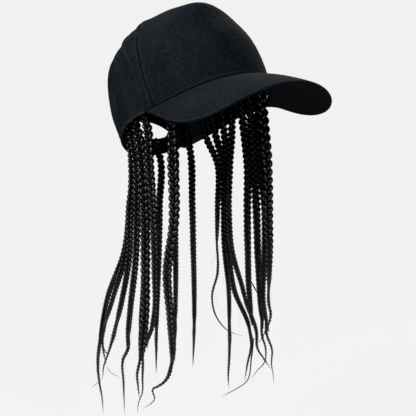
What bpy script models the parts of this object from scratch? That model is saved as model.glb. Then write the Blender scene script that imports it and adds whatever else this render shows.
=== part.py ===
"""Five-panel baseball cap with box braids that hang from inside its rim.

Units are metres. The wearer looks along -Y, the wearer's right is -X and up is +Z.
The origin is the centre of the head opening, where a head carries the cap.
Angles run around the head opening from the front (0) towards the wearer's right.
"""

from collections import namedtuple
from math import asin, atan2, cos, exp, pi, radians, sin

import bmesh
import bpy
from mathutils import Matrix, Vector

MM = 0.001

# How the cap sits on the head: front lifted, and a slight roll.
CAP_TILT = radians(19.8)
CAP_ROLL = radians(-2.6)
CAP_TO_WORLD = Matrix.Rotation(-CAP_TILT, 3, "X") @ Matrix.Rotation(CAP_ROLL, 3, "Y")

# Cloth and fits
WALL = 1.6 * MM
BAND_WALL = 1.2 * MM
GAP = 0.3 * MM
BAND_GAP = 0.4 * MM

# Head opening
RIM_HALF_WIDTH = 76.2 * MM
RIM_HALF_LENGTH = 96.4 * MM
RIM_FRONT_ARCH = 24.0 * MM
RIM_SADDLE = -8.7 * MM
BRIM_END = radians(77.0)

# The crown from the rim to the top, one row at each sixth of the rise
Section = namedtuple("Section", "height front back half_width")
CROWN = [
    Section(0.0, 96.4, 96.4, 76.2),
    Section(27.0, 94.2, 100.1, 78.5),
    Section(56.0, 87.9, 98.7, 76.0),
    Section(81.0, 77.0, 86.5, 68.5),
    Section(102.0, 65.0, 68.0, 49.0),
    Section(115.0, 38.0, 40.0, 32.0),
    Section(121.5, 0.0, 0.0, 0.0),
]
TOP_SHIFT = 7.0 * MM

# Soft swells (+) and dents (-) of the worn cloth
Swell = namedtuple("Swell", "angle rise angle_spread rise_spread depth")
SWELLS = [
    Swell(10.0, 0.63, 24.0, 0.10, 3.6),
    Swell(60.0, 0.72, 20.0, 0.12, -1.2),
    Swell(82.0, 0.72, 8.0, 0.12, 1.6),
    Swell(-82.0, 0.72, 8.0, 0.12, 1.6),
    Swell(120.0, 0.34, 5.0, 0.26, 0.9),
    Swell(104.0, 0.50, 4.0, 0.18, 0.8),
]

# Seams: the angle of each one at five heights of the rise
SEAM_RISES = (0.0, 0.5, 0.7, 0.85, 1.0)
FRONT_SEAM = (70.0, 71.0, 80.0, 86.0, 88.0)
BACK_SEAM = (122.0, 124.0, 127.0, 131.0, 134.0)
TOP_HOLE_RISE = 0.975

# Facets of each sheet: columns around, rows up
FRONT_FACETS = (22, 14)
SIDE_FACETS = (10, 14)
BACK_FACETS = (8, 14)
BAND_FACETS = (48, 3)
STRAP_FACETS = (14, 3)
BRIM_FACETS = (30, 7)
BUTTON_SIDES = 20
ARCH_SIDES = 40

# Closing arch and strap at the back
ARCH_HALF_WIDTH = 38.0 * MM
ARCH_HEIGHT = 46.0 * MM
ARCH_CUT_LENGTH = 120.0 * MM
STRAP_ANGLE = radians(145.0)
STRAP_RISE = 0.115
STRAP_GAP_ANGLE = 0.01

# Sweatband
BAND_LOW_RISE = 0.005
BAND_HIGH_RISE = 0.165

# Brim: a flat peak with an elliptic edge, bent round a cylinder and pitched down
BRIM_THICKNESS = 3.2 * MM
BRIM_BEND_RADIUS = 87.8 * MM
BRIM_PITCH = radians(-34.8)
BRIM_HALF_WIDTH = 112.5 * MM
BRIM_LENGTH = 73.6 * MM
BRIM_EDGE_CENTRE = 48.1 * MM
BRIM_SWEEP = radians(98.0)
BRIM_TUCK = 0.12
BRIM_UNDER_RIM = 0.35
BRIM_END_THINNING = 0.4
BRIM_END_SHARPNESS = 10
BRIM_LIFT_POWER = 2.0
BRIM_END_LIFT_POWER = 0.95
BRIM_LIFT_SHARPNESS = 3
BRIM_ROOT_DROP_POWER = 3

# Top button
BUTTON_RADIUS = 7.5 * MM
BUTTON_HEIGHT = 3.8 * MM
BUTTON_SHANK_RADIUS = 2.6 * MM
BUTTON_CLEARANCE = 1.3 * GAP
ButtonRing = namedtuple("ButtonRing", "reach height")
BUTTON_RINGS = [
    ButtonRing(0.0, 1.0),
    ButtonRing(0.45, 0.94),
    ButtonRing(0.8, 0.7),
    ButtonRing(1.0, 0.3),
]
BUTTON_FOOT_REACH = 0.95

# Braids. The drifts are millimetres along the sweep direction at each drift height.
BRAID_SIDES_LEVEL = 1
BRAID_POINTS = 22
BRAID_ROOT_RISE = 0.105
BRAID_BEND_ROOM = 1.1 * MM
BRAID_BEND_RISE_SHARE = 0.4
BRAID_BEND_ROOM_SHARE = 0.3
TAIL_TIP_RADIUS = 0.6 * MM
TAIL_SLIMMING = 1.6
FREE_HANG = 30.0
SWEEP = Vector((cos(radians(37.0)), -sin(radians(37.0)), 0.0))
AWAY = Vector((sin(radians(37.0)), cos(radians(37.0)), 0.0))
DRIFT_HEIGHTS = (-50.0, -100.0, -150.0, -200.0, -250.0)
Braid = namedtuple("Braid", "angle top_width end_width fullness plait_end tail_end drifts tail_drift away")
BRAIDS = [
    Braid(64, 10.6, 4.6, 1.3, -245, -292, (6, 6, -1, 2, 2), -22, 0),
    Braid(86, 8.6, 4.0, 1.2, -222, -238, (6, 9, 10, 9, 0), 0, 0),
    Braid(100, 8.8, 6.4, 2.0, -250, -317, (9, 10, 10, 9, 5), -1, 0),
    Braid(113, 7.8, 4.2, 1.3, -240, -325, (8, 7, 5, -1, -6), -9, 0),
    Braid(126, 7.4, 4.0, 1.5, -228, -292, (4, 1, -1, -10, -23), -36, 0),
    Braid(139, 7.4, 3.6, 1.4, -232, -282, (1, -3, -8, -23, -36), -32, 0),
    Braid(152, 7.4, 3.4, 1.3, -262, -345, (-3, -8, -16, -35, -45), -44, 0),
    Braid(168, 7.6, 3.8, 1.3, -250, -305, (0, 0, -2, -6, -10), -12, 0),
    Braid(184, 7.6, 3.8, 1.3, -255, -310, (0, 0, -1, -3, -5), -6, 0),
    Braid(200, 7.6, 3.8, 1.3, -245, -300, (0, 1, 2, 2, 1), 0, 0),
    Braid(216, 7.6, 3.8, 1.3, -250, -305, (2, 4, 5, 6, 6), 4, 0),
    Braid(232, 7.2, 2.6, 2.0, -150, -261, (15, 15, 14, 11, 22), 46, 1),
    Braid(241, 7.8, 3.2, 1.5, -250, -325, (11, 12, 13, 18, 19), 18, 2),
    Braid(250, 7.8, 3.6, 1.4, -255, -301, (5, 5, 7, 14, 33), 29, 0),
    Braid(259, 7.8, 3.8, 1.3, -215, -230, (-2, -3, 1, 15, 21), 21, -2),
    Braid(271, 8.4, 4.2, 1.5, -232, -293, (7, 7, 8, 10, 17), 37, 0),
    Braid(282, 8.6, 4.2, 1.5, -232, -302, (5, 8, 10, 13, 16), 1, 0),
    Braid(293, 8.0, 3.6, 1.6, -230, -299, (5, 10, 10, 9, 18), 21, 0),
    Braid(306, 11.4, 3.0, 2.2, -185, -261, (8, 10, 12, 10, -3), -6, 0),
]


def empty_scene():
    for thing in list(bpy.data.objects):
        bpy.data.objects.remove(thing, do_unlink=True)


def collection(name):
    made = bpy.data.collections.new(name)
    bpy.context.scene.collection.children.link(made)
    return made


def finish(name, colour, roughness, metallic=0.0):
    material = bpy.data.materials.new(name)
    material.use_nodes = True
    shader = material.node_tree.nodes["Principled BSDF"]
    shader.inputs["Base Color"].default_value = (*colour, 1.0)
    shader.inputs["Roughness"].default_value = roughness
    shader.inputs["Metallic"].default_value = metallic
    material.diffuse_color = (*colour, 1.0)
    return material


# Curves of the crown

def through(rows, place):
    """Read evenly spaced rows of numbers as one smooth curve, place 0 to 1."""
    steps = len(rows) - 1
    along = min(max(place, 0.0), 1.0) * steps
    index = min(int(along), steps - 1)
    part = along - index
    before = [2 * a - b for a, b in zip(rows[0], rows[1])] if index == 0 else rows[index - 1]
    if index + 2 > steps:
        after = [rows[-2][0]] + [-value for value in rows[-2][1:]]
    else:
        after = rows[index + 2]
    read = []
    for p0, p1, p2, p3 in zip(before, rows[index], rows[index + 1], after):
        value = 2 * p1 + (p2 - p0) * part + (2 * p0 - 5 * p1 + 4 * p2 - p3) * part**2
        read.append((value + (3 * p1 - p0 - 3 * p2 + p3) * part**3) / 2)
    return read


def between(places, values, place):
    """Read straight between the values given at the places."""
    for low, high, first, last in zip(places, places[1:], values, values[1:]):
        if place <= high:
            part = (place - low) / (high - low)
            return first + (last - first) * part
    return values[-1]


def turned(angle):
    """The same angle between -pi and pi."""
    return (angle + pi) % (2 * pi) - pi


def rim_height(angle):
    part = min(abs(turned(angle)) / BRIM_END, 1.0)
    return RIM_FRONT_ARCH * (1 - part**2) ** 2 + RIM_SADDLE * cos(2 * angle)


def swell(angle, rise):
    total = 0.0
    for row in SWELLS:
        across = turned(angle - radians(row.angle)) / radians(row.angle_spread)
        upward = (rise - row.rise) / row.rise_spread
        total += row.depth * MM * exp(-across**2 - upward**2)
    return total


def crown_skin(angle, rise):
    height, front, back, half_width = (value * MM for value in through(CROWN, rise))
    length = front if cos(angle) > 0 else back
    return Vector((
        -half_width * sin(angle),
        -length * cos(angle) + TOP_SHIFT * rise**2,
        height + rim_height(angle) * (1 - rise) ** 2,
    ))


def crown_normal(angle, rise):
    step = 0.004
    low, high = max(rise - step, 0.0), min(rise + step, 0.995)
    upward = crown_skin(angle, high) - crown_skin(angle, low)
    sideways = crown_skin(angle - step, min(rise, 0.99)) - crown_skin(angle + step, min(rise, 0.99))
    return sideways.cross(upward).normalized()


def crown_point(angle, rise, depth=0.0):
    """A point of the crown, depth below its outer face, in the cap's own frame."""
    return crown_skin(angle, rise) + crown_normal(angle, rise) * (swell(angle, rise) - depth)


def inside_point(angle, rise, depth):
    """A point inside the crown, depth below its outer face with the swells left out."""
    return crown_skin(angle, rise) - crown_normal(angle, rise) * depth


# Makers of solids

def sheet(name, facets, outer, inner, material, group):
    """A closed sheet between two faces, each a function of u and v from 0 to 1."""
    columns, rows = facets
    work = bmesh.new()
    bmesh.ops.create_grid(work, x_segments=columns, y_segments=rows, size=0.5)
    raised = bmesh.ops.extrude_face_region(work, geom=work.faces[:], use_keep_orig=True)
    far = {item for item in raised["geom"] if isinstance(item, bmesh.types.BMVert)}
    for vertex in work.verts:
        face = inner if vertex in far else outer
        vertex.co = CAP_TO_WORLD @ face(vertex.co.x + 0.5, vertex.co.y + 0.5)
    bmesh.ops.recalc_face_normals(work, faces=work.faces[:])
    if work.calc_volume(signed=True) < 0:
        bmesh.ops.reverse_faces(work, faces=work.faces[:])
    mesh = bpy.data.meshes.new(name)
    work.to_mesh(mesh)
    work.free()
    mesh.shade_smooth()
    mesh.set_sharp_from_angle(angle=radians(40))
    thing = bpy.data.objects.new(name, mesh)
    thing.data.materials.append(material)
    group.objects.link(thing)
    return thing


def seam_angle(seam, rise):
    return radians(between(SEAM_RISES, seam, rise))


def panel(name, start, end, facets, material, group):
    """A crown panel between two seams. The start seam has the larger angle."""
    def face(depth):
        def place(u, v):
            rise = TOP_HOLE_RISE * v
            reach = crown_skin(pi / 2, rise).xy.length
            first = start(rise) - 0.5 * GAP / reach
            last = end(rise) + 0.5 * GAP / reach
            return crown_point(first + (last - first) * u, rise, depth)
        return place
    return sheet(name, facets, face(0.0), face(WALL), material, group)


def band(name, start, end, low, high, facets, material, group):
    """A strip that lies inside the crown's wall."""
    def face(depth):
        return lambda u, v: inside_point(start + (end - start) * u, low + (high - low) * v, depth)
    outer = WALL + BAND_GAP
    return sheet(name, facets, face(outer), face(outer + BAND_WALL), material, group)


def brim_middle(u, v):
    """The middle of the brim's thickness from the crown (v 0) to its edge (v 1)."""
    angle = BRIM_END * (1 - 2 * u)
    root = crown_skin(angle, 0.0)
    across = BRIM_BEND_RADIUS * asin(max(-1.0, min(1.0, -root.x / BRIM_BEND_RADIUS)))
    forward = RIM_HALF_LENGTH + (-root.y - RIM_HALF_LENGTH) / cos(BRIM_PITCH)
    sweep = BRIM_SWEEP * (1 - 2 * u)
    edge_across = BRIM_HALF_WIDTH * sin(sweep)
    edge_length = RIM_HALF_LENGTH + BRIM_LENGTH - BRIM_EDGE_CENTRE
    edge_forward = BRIM_EDGE_CENTRE + edge_length * cos(sweep)
    lift = root.z - bent_brim(across, forward).z
    point = bent_brim(across + (edge_across - across) * v, forward + (edge_forward - forward) * v)
    power = BRIM_LIFT_POWER - (BRIM_LIFT_POWER - BRIM_END_LIFT_POWER) * abs(1 - 2 * u) ** BRIM_LIFT_SHARPNESS
    point.z += lift * (1 - v) ** power
    return point


def bent_brim(across, forward):
    turn = across / BRIM_BEND_RADIUS
    reach = forward - RIM_HALF_LENGTH
    return Vector((
        -BRIM_BEND_RADIUS * sin(turn),
        -(RIM_HALF_LENGTH + reach * cos(BRIM_PITCH)),
        RIM_FRONT_ARCH - BRIM_BEND_RADIUS * (1 - cos(turn)) + reach * sin(BRIM_PITCH),
    ))


def brim_normal(u, v):
    step = 0.01
    low, high = max(u - step, 0.0), min(u + step, 1.0)
    sideways = brim_middle(high, v) - brim_middle(low, v)
    near, far = max(v - step, 0.0), min(v + step, 1.0)
    outward = brim_middle(u, far) - brim_middle(u, near)
    return outward.cross(sideways).normalized()


def brim_face(u, v, side):
    """A point of the brim's upper (side 1) or lower (side -1) face, tucked in under the wall at v 0."""
    thickness = BRIM_THICKNESS * (1 - BRIM_END_THINNING * abs(1 - 2 * u) ** BRIM_END_SHARPNESS)
    upright = brim_normal(u, max(v, BRIM_TUCK))
    drop = upright.z * thickness / 2
    free = brim_middle(u, v) + upright * side * thickness / 2
    free.z -= (drop + GAP) * (1 - v) ** BRIM_ROOT_DROP_POWER
    if v < BRIM_UNDER_RIM:
        round_rim = atan2(-free.x / RIM_HALF_WIDTH, -free.y / RIM_HALF_LENGTH)
        free.z = min(free.z, rim_height(round_rim) - 2 * GAP - drop * (1 - side))
    tucked = crown_point(BRIM_END * (1 - 2 * u), 0.0, WALL) + upright * side * thickness / 2
    tucked.z -= GAP + drop
    return free + (tucked - free) * max(0.0, 1 - v / BRIM_TUCK)


def build_brim(material, group):
    def face(side):
        return lambda u, v: brim_face(u, v, side)
    return sheet("brim", BRIM_FACETS, face(1.0), face(-1.0), material, group)


def build_button(material, group):
    apex = crown_skin(0.0, 1.0)
    profile = [(ring.reach * BUTTON_RADIUS, ring.height * BUTTON_HEIGHT) for ring in BUTTON_RINGS]
    profile += [
        (BUTTON_FOOT_REACH * BUTTON_RADIUS, BUTTON_CLEARANCE),
        (BUTTON_SHANK_RADIUS, BUTTON_CLEARANCE),
        (BUTTON_SHANK_RADIUS, -WALL - 2 * GAP),
        (0.0, -WALL - 2 * GAP),
    ]
    mesh = bpy.data.meshes.new("top_button")
    points = [(radius, 0.0, height) for radius, height in profile]
    mesh.from_pydata(points, [(i, i + 1) for i in range(len(points) - 1)], [])
    thing = bpy.data.objects.new("top_button", mesh)
    group.objects.link(thing)
    screw = thing.modifiers.new("turned", "SCREW")
    screw.steps = BUTTON_SIDES
    screw.render_steps = BUTTON_SIDES
    screw.use_merge_vertices = True
    screw.merge_threshold = 0.00001
    thing.matrix_world = CAP_TO_WORLD.to_4x4() @ Matrix.Translation(apex)
    thing.data.materials.append(material)
    return thing


def cut_arch(panels, group):
    """Cut the closing arch out of the back panels."""
    bpy.ops.mesh.primitive_cylinder_add(vertices=ARCH_SIDES, radius=1.0, depth=ARCH_CUT_LENGTH)
    cutter = bpy.context.object
    cutter.name = "arch_cutter"
    for holder in cutter.users_collection:
        holder.objects.unlink(cutter)
    group.objects.link(cutter)
    base = crown_skin(pi, 0.0)
    size = Matrix.Diagonal((ARCH_HALF_WIDTH, ARCH_HEIGHT, 1.0, 1.0))
    cutter.data.transform(Matrix.Rotation(pi / 2, 4, "X") @ size)
    cutter.matrix_world = CAP_TO_WORLD.to_4x4() @ Matrix.Translation(Vector((0.0, base.y, base.z)))
    cutter.hide_render = True
    cutter.display_type = "WIRE"
    for thing in panels:
        cut = thing.modifiers.new("arch", "BOOLEAN")
        cut.operation = "DIFFERENCE"
        cut.object = cutter


# Braids

def route_through(points, count):
    """Read a smooth curve through unevenly spaced points."""
    spans = [(b - a).length for a, b in zip(points, points[1:])]
    slopes = [(b - a) / span for a, b, span in zip(points, points[1:], spans)]
    tangents = [slopes[0]]
    for index in range(1, len(spans)):
        left, right = spans[index - 1], spans[index]
        tangents.append((slopes[index] * left + slopes[index - 1] * right) / (left + right))
    tangents.append(slopes[-1])
    total = sum(spans)
    route = []
    for step in range(count):
        along = total * step / (count - 1)
        index = 0
        while index < len(spans) - 1 and along > spans[index]:
            along -= spans[index]
            index += 1
        t = min(along / spans[index], 1.0)
        start, end = points[index], points[index + 1]
        leave, arrive = tangents[index] * spans[index], tangents[index + 1] * spans[index]
        curve = start * (2 * t**3 - 3 * t**2 + 1) + leave * (t**3 - 2 * t**2 + t)
        route.append(curve + end * (3 * t**2 - 2 * t**3) + arrive * (t**3 - t**2))
    return route


def braid_points(row):
    """The root on the band, the way out under the rim, then the hanging stretch."""
    angle = radians(row.angle)
    radius = 0.5 * row.top_width * MM
    inside = WALL + BAND_GAP + BAND_WALL + GAP + radius
    bend_rise = BRAID_BEND_RISE_SHARE * BRAID_ROOT_RISE
    points = [
        CAP_TO_WORLD @ inside_point(angle, BRAID_ROOT_RISE, inside),
        CAP_TO_WORLD @ inside_point(angle, bend_rise, inside + BRAID_BEND_ROOM_SHARE * BRAID_BEND_ROOM),
        CAP_TO_WORLD @ inside_point(angle, 0.0, inside + BRAID_BEND_ROOM),
    ]
    start = points[-1]
    heights = [*DRIFT_HEIGHTS, row.tail_end]
    drifts = [*row.drifts, row.tail_drift]
    for height, drift in zip(heights, drifts):
        if height < row.tail_end or height > start.z / MM - FREE_HANG:
            continue
        place = start + SWEEP * drift * MM + AWAY * row.away * MM
        points.append(Vector((place.x, place.y, height * MM)))
    return points


def braid_radius(row, height, top):
    """Half the braid's width at a height."""
    end = row.plait_end * MM
    if height > end:
        part = (top - height) / (top - end)
        return 0.5 * MM * (row.top_width + (row.end_width - row.top_width) * part**row.fullness)
    part = min((end - height) / max(end - row.tail_end * MM, MM), 1.0)
    start = 0.5 * row.end_width * MM
    return TAIL_TIP_RADIUS + (start - TAIL_TIP_RADIUS) * (1 - part) ** TAIL_SLIMMING


def build_braid(name, row, material, group):
    route = route_through(braid_points(row), BRAID_POINTS)
    curve = bpy.data.curves.new(name, "CURVE")
    curve.dimensions = "3D"
    curve.bevel_depth = 1.0
    curve.bevel_resolution = BRAID_SIDES_LEVEL
    curve.use_fill_caps = True
    spline = curve.splines.new("POLY")
    spline.points.add(len(route) - 1)
    for point, place in zip(spline.points, route):
        point.co = (*place, 1.0)
        point.radius = braid_radius(row, place.z, route[0].z)
    thing = bpy.data.objects.new(name, curve)
    thing.data.materials.append(material)
    group.objects.link(thing)
    return thing


def main():
    empty_scene()
    cap = collection("braided_cap")
    cutters = collection("cutters")

    twill = finish("black_twill", (0.016, 0.018, 0.024), 0.9)
    tape = finish("band_cloth", (0.03, 0.032, 0.036), 0.85)
    hair = finish("braided_hair", (0.008, 0.008, 0.009), 0.42)

    def front_right(rise):
        return seam_angle(FRONT_SEAM, rise)

    def back_right(rise):
        return seam_angle(BACK_SEAM, rise)

    def front_left(rise):
        return -front_right(rise)

    def back_left(rise):
        return -back_right(rise)

    def centre_right(rise):
        return pi

    def centre_left(rise):
        return -pi

    panel("front_panel", front_right, front_left, FRONT_FACETS, twill, cap)
    panel("side_panel_right", back_right, front_right, SIDE_FACETS, twill, cap)
    panel("side_panel_left", front_left, back_left, SIDE_FACETS, twill, cap)
    backs = [
        panel("back_panel_right", centre_right, back_right, BACK_FACETS, twill, cap),
        panel("back_panel_left", back_left, centre_left, BACK_FACETS, twill, cap),
    ]
    cut_arch(backs, cutters)
    band_end = STRAP_ANGLE - STRAP_GAP_ANGLE
    band("sweatband", band_end, -band_end, BAND_LOW_RISE, BAND_HIGH_RISE, BAND_FACETS, tape, cap)
    strap_end = 2 * pi - STRAP_ANGLE
    band("back_strap", strap_end, STRAP_ANGLE, BAND_LOW_RISE, STRAP_RISE, STRAP_FACETS, twill, cap)
    build_brim(twill, cap)
    build_button(twill, cap)
    for number, row in enumerate(BRAIDS, start=1):
        build_braid(f"braid_{number:02d}", row, hair, cap)


main()
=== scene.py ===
"""Looks of a baseball cap with box braids hanging from inside its rim.

Units are metres. The wearer looks along -Y, the wearer's right is -X and up is +Z.
Angles run around the head opening from the front (0) towards the wearer's right.
"""

from collections import namedtuple
from math import asin, atan2, cos, exp, pi, radians, sin, sqrt

import bpy
import numpy as np
from mathutils import Matrix, Vector, noise


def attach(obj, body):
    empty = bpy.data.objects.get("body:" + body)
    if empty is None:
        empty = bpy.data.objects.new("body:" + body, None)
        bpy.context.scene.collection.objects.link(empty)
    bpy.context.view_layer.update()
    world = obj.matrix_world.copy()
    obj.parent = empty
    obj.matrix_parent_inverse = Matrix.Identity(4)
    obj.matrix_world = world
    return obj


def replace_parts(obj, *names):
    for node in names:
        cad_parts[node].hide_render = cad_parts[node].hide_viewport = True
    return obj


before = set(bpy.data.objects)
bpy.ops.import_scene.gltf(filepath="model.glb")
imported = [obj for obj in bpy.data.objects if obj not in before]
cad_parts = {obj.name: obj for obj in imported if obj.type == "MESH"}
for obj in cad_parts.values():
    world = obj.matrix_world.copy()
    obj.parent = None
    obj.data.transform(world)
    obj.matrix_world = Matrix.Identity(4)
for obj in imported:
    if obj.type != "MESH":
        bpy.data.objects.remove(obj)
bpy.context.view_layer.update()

MM = 0.001


def table(columns, *rows):
    """Rows of values under named columns."""
    row = namedtuple("Row", columns)
    return [row(*values) for values in rows]


# Camera, at the photographed angle, and the size of the picture that it takes
VIEW_AZIMUTH = radians(37.0)
VIEW_ELEVATION = radians(7.4)
VIEW_DISTANCE = 745.0 * MM
AIM_SIDEWAYS = 13.4 * MM
AIM_HEIGHT = -92.7 * MM
LENS = 59.106
SENSOR = 36.0
PICTURE = 416

# Directions: up, across the view and level away from the camera, then the camera's own
UP = Vector((0.0, 0.0, 1.0))
SWEEP = Vector((cos(VIEW_AZIMUTH), -sin(VIEW_AZIMUTH), 0.0))
AWAY = Vector((sin(VIEW_AZIMUTH), cos(VIEW_AZIMUTH), 0.0))
AHEAD = AWAY * cos(VIEW_ELEVATION) - UP * sin(VIEW_ELEVATION)
UPWARD = AWAY * sin(VIEW_ELEVATION) + UP * cos(VIEW_ELEVATION)
EYE = SWEEP * AIM_SIDEWAYS + UP * AIM_HEIGHT - AHEAD * VIEW_DISTANCE

# How the cap sits on the head: front lifted, and a slight roll
CAP_TILT = radians(19.8)
CAP_ROLL = radians(-2.6)
WORN = Matrix.Rotation(-CAP_TILT, 3, "X") @ Matrix.Rotation(CAP_ROLL, 3, "Y")

# Cloth and fits
WALL = 1.6 * MM
BAND_WALL = 1.2 * MM
GAP = 0.3 * MM
SEAM_GAP = 0.03 * MM
BAND_GAP = 0.4 * MM

# Head opening
RIM_HALF_WIDTH = 76.2 * MM
RIM_HALF_LENGTH = 96.4 * MM
RIM_FRONT_ARCH = 24.0 * MM
RIM_SADDLE = -8.7 * MM
BRIM_END = radians(77.0)

# The crown from the rim to the top, one row at each sixth of the rise
CROWN = table(
    "height front back half_width",
    (0.0, 96.4, 96.4, 76.2),
    (27.0, 94.2, 100.1, 78.5),
    (56.0, 87.9, 98.7, 76.0),
    (81.0, 77.0, 86.5, 68.5),
    (102.0, 65.0, 68.0, 49.0),
    (115.0, 38.0, 40.0, 32.0),
    (121.5, 0.0, 0.0, 0.0),
)
TOP_SHIFT = 7.0 * MM
CROWN_HEIGHT = CROWN[-1].height * MM
SKIN_LENGTH = 1.3 * CROWN_HEIGHT
NORMAL_STEP = 0.004
NORMAL_TOP_RISE = 0.995
NORMAL_SIDE_RISE = 0.99

# Soft swells (+) and dents (-) of the worn cloth, in degrees, shares of the rise and millimetres
SWELLS = table(
    "angle rise spread rise_spread lean depth",
    (10.0, 0.63, 24.0, 0.10, 0.0, 3.6),
    (60.0, 0.72, 20.0, 0.12, 0.0, -1.2),
    (82.0, 0.72, 8.0, 0.12, 0.0, 1.6),
    (-82.0, 0.72, 8.0, 0.12, 0.0, 1.6),
    (120.0, 0.34, 5.0, 0.26, 0.0, 0.9),
    (104.0, 0.50, 4.0, 0.18, 0.0, 0.8),
)

# Seams: the angle of each one at five heights of the rise
SEAM_RISES = (0.0, 0.5, 0.7, 0.85, 1.0)
FRONT_SEAM = (70.0, 71.0, 80.0, 86.0, 88.0)
BACK_SEAM = (122.0, 124.0, 127.0, 131.0, 134.0)
CENTRE_SEAM = (180.0,) * 5
TOP_HOLE_RISE = 0.975

# Panels, each between two seams on the right (1) or the left (-1), the larger angle first
PANELS = table(
    "node start start_way end end_way columns",
    ("front_panel", FRONT_SEAM, 1, FRONT_SEAM, -1, 120),
    ("side_panel_right", BACK_SEAM, 1, FRONT_SEAM, 1, 56),
    ("side_panel_left", FRONT_SEAM, -1, BACK_SEAM, -1, 56),
    ("back_panel_right", CENTRE_SEAM, 1, BACK_SEAM, 1, 56),
    ("back_panel_left", BACK_SEAM, -1, CENTRE_SEAM, -1, 56),
)
PANEL_ROWS = 70
PANEL_CROWDING = (0.85, 0.6)

# Soft upright folds of the side and back panels, given in the same way
FOLDS = table(
    "angle rise spread rise_spread lean depth",
    (110.0, 0.26, 1.7, 0.20, 5.0, 3.0),
    (105.5, 0.30, 2.2, 0.18, 4.0, -2.2),
    (93.0, 0.58, 2.0, 0.15, 7.0, 2.6),
    (98.0, 0.52, 2.4, 0.16, 7.0, -2.0),
    (84.0, 0.30, 3.0, 0.16, -6.0, -0.5),
    (-97.0, 0.5, 3.0, 0.18, -8.0, 1.2),
    (-108.0, 0.3, 2.6, 0.2, -6.0, 1.0),
    (138.0, 0.55, 3.2, 0.14, 8.0, 0.9),
    (-141.0, 0.5, 3.0, 0.16, -8.0, 0.9),
)

# How the cloth rolls into its seams and at the hem
SEAM_DIP = 0.9 * MM
SEAM_ROLL = 0.8 * MM
HEM_DIP = 0.7 * MM
HEM_ROLL = 1.0 * MM
INSIDE_DIP = 0.3 * MM
CLOTH_WAVE = 0.35 * MM
CLOTH_WAVE_SIZE = 20.0 * MM

# Closing arch and strap at the back
ARCH_HALF_WIDTH = 38.0 * MM
ARCH_HEIGHT = 46.0 * MM
ARCH_CUT_REACH = 60.0 * MM
ARCH_CUT_STEPS = 96
STRAP_ANGLE = radians(145.0)
STRAP_RISE = 0.115

# Sweatband
BAND_LOW_RISE = 0.005
BAND_HIGH_RISE = 0.165
BAND_END_GAP = 0.01

# Brim: a flat peak with an elliptic edge, bent round a cylinder and pitched down
BRIM_THICKNESS = 3.2 * MM
BRIM_BEND_RADIUS = 87.8 * MM
BRIM_PITCH = radians(-34.8)
BRIM_HALF_WIDTH = 112.5 * MM
BRIM_LENGTH = 73.6 * MM
BRIM_EDGE_CENTRE = 48.1 * MM
BRIM_SWEEP = radians(98.0)
BRIM_TUCK = 0.12
BRIM_UNDER_RIM = 0.35
BRIM_ROUND = 1.7 * MM
BRIM_LEAST_ROUND = 0.02
BRIM_LINE_INSIDE = 3.0 * MM
BRIM_LINE_DEPTH = 0.22 * MM
BRIM_LINE_WIDTH = 0.5 * MM
# Painted shadow: how far out from the crown the brim's note turns negative, darkening the brim
# under the crown's hem
BRIM_ROOT_SHADE = 5.6 * MM
BRIM_END_THINNING = 0.4
BRIM_END_SHARPNESS = 10
BRIM_LIFT_POWER = 2.0
BRIM_END_LIFT_POWER = 0.95
BRIM_LIFT_SHARPNESS = 3
BRIM_ROOT_DROP_POWER = 3
BRIM_CROWDING = (0.6, 0.8)

# Sewing
HEM_ROLL_RADIUS = 1.15 * MM
HEM_ROLL_DROP = 0.35 * MM
HEM_ROLL_START = radians(78.5)
HEM_ROLL_END_GAP = 0.01
ARCH_ROLL_RADIUS = 1.0 * MM
ARCH_ROLL_END_GAP = 0.015
STITCH_PITCH = 2.6 * MM
STITCH_LENGTH = 1.9 * MM
STITCH_START = 0.4 * MM
STITCH_RADIUS = 0.2 * MM
STITCH_SWELL = (0.35, 0.9, 1.0, 0.9, 0.35)
STITCH_PROUD = 0.02 * MM
BRIM_STITCH_RADIUS = 0.16 * MM
BRIM_STITCH_SINK = 0.1 * MM
BRIM_ROWS = (6.0, 12.0, 18.0, 24.0, 30.0, 36.0)
BRIM_ROW_END_GAP = 0.03
BRIM_ROW_ROOT_GAP = 0.05
SEAM_ROW_INSIDE = 3.2 * MM
SEAM_ROW_RISES = (0.012, 0.9)
HEM_ROW_RISE = 0.045
HEM_ROW_DEGREES = range(78, 151)
BAND_ROW_RISES = (0.05, 0.15)
BAND_ROW_DEGREES = range(-143, 144)
BAND_STITCH_PROUD = 0.05 * MM

# Top button
BUTTON_RADIUS = 7.5 * MM
BUTTON_HEIGHT = 3.8 * MM
BUTTON_GATHERS = 16
BUTTON_GATHER_DEPTH = 0.16 * MM
BUTTON_GATHER_SINK = 0.4
BUTTON_STEPS = 28
BUTTON_RINGS = table(
    "reach height gathered",
    (0.02, 1.0, 0.0),
    (0.3, 0.97, 0.1),
    (0.6, 0.86, 0.5),
    (0.84, 0.64, 1.0),
    (0.97, 0.36, 1.0),
    (0.98, 0.2, 0.8),
    (0.9, 0.11, 0.5),
    (0.35, 0.11, 0.0),
)

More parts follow.
